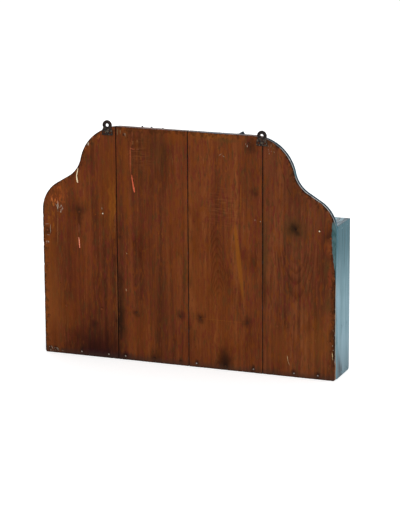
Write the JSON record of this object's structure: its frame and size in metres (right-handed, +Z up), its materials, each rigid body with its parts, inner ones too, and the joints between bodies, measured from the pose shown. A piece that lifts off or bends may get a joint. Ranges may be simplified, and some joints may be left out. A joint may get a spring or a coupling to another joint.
{
  "type": "wall mirror with shelf",
  "caption": "Wall mirror in a painted box with an open shelf bay, on nailed planks with an ogee crest and iron hanging eyes.",
  "frame": {"origin": "on the ground under the middle of the whole, at the centre of its width and of its depth over the hangers", "axes": "+Z up; the mirror faces -Y and the bare back of the planks faces +Y; +X is to the right of someone who looks into the mirror"},
  "size_m": [0.638, 0.0996, 0.5045],
  "materials": {
    "bare_wood": "bare aged brown wood, matt, stained and scuffed",
    "painted_wood": "old blue-grey teal paint, worn through at the edges",
    "mirror_glass": "silvered glass, a little foxed at the edges",
    "backing_sheet": "thin brown backing sheet",
    "dark_iron": "dark rusted iron plate",
    "rusty_nail": "rusted iron nails"
  },
  "bodies": {
    "root": {"back_plank_1": "bare_wood", "back_plank_2": "bare_wood", "back_plank_3": "bare_wood", "back_plank_4": "bare_wood", "side_panel_left": "painted_wood", "side_panel_right": "painted_wood", "top_board": "painted_wood", "middle_shelf": "painted_wood", "bottom_board": "painted_wood", "crest_rail": "painted_wood", "mirror_glass": "mirror_glass", "mirror_backing": "backing_sheet", "mirror_frame_top": "painted_wood", "mirror_frame_bottom": "painted_wood", "mirror_frame_left": "painted_wood", "mirror_frame_right": "painted_wood", "hanger_left": "dark_iron", "hanger_right": "dark_iron", "hanger_nails_left": "rusty_nail", "hanger_nails_right": "rusty_nail", "nails_bottom_row": "rusty_nail", "nails_shelf_row": "rusty_nail", "nails_top_row": "rusty_nail", "nails_side_left": "rusty_nail", "nails_side_right": "rusty_nail", "nails_crest_rail": "rusty_nail", "nails_through_left": "rusty_nail", "nails_through_right": "rusty_nail", "frame_pins": "rusty_nail"}
  },
  "joints": []
}
